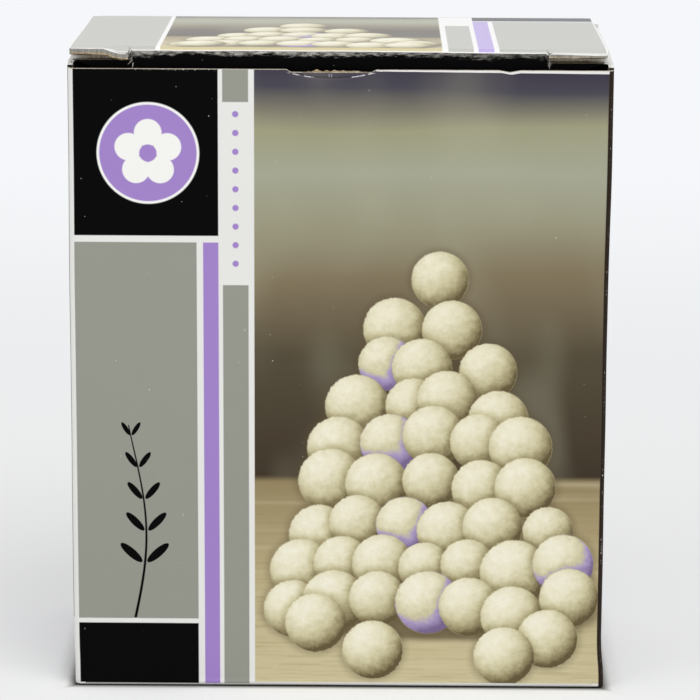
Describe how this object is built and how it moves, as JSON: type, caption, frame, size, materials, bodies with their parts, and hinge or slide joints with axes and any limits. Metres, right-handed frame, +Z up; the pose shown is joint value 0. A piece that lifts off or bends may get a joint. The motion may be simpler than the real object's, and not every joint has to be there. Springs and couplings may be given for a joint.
{
  "type": "folding carton",
  "caption": "Upright micro-flute board carton with a slit-lock tuck lid, dust flaps and a snap-lock bottom; the lid folds back on its rear crease.",
  "frame": {"origin": "middle of the base, on the surface that the carton stands on", "axes": "+Z up, the front panel faces -Y, and the lid's rear crease runs along X at +Y"},
  "size_m": [0.155, 0.078, 0.1883],
  "materials": {
    "body_board": "printed, satin",
    "lid_board": "printed, satin"
  },
  "bodies": {
    "carton": {"carton_body": "body_board"},
    "lid": {"lid_flap": "lid_board"}
  },
  "joints": [
    {"name": "lid_hinge", "type": "hinge", "parent": "carton", "child": "lid", "pos_m": [0, 0.03825, 0.18755], "axis": [-1, 0, 0], "range_deg": [0, 180]}
  ]
}
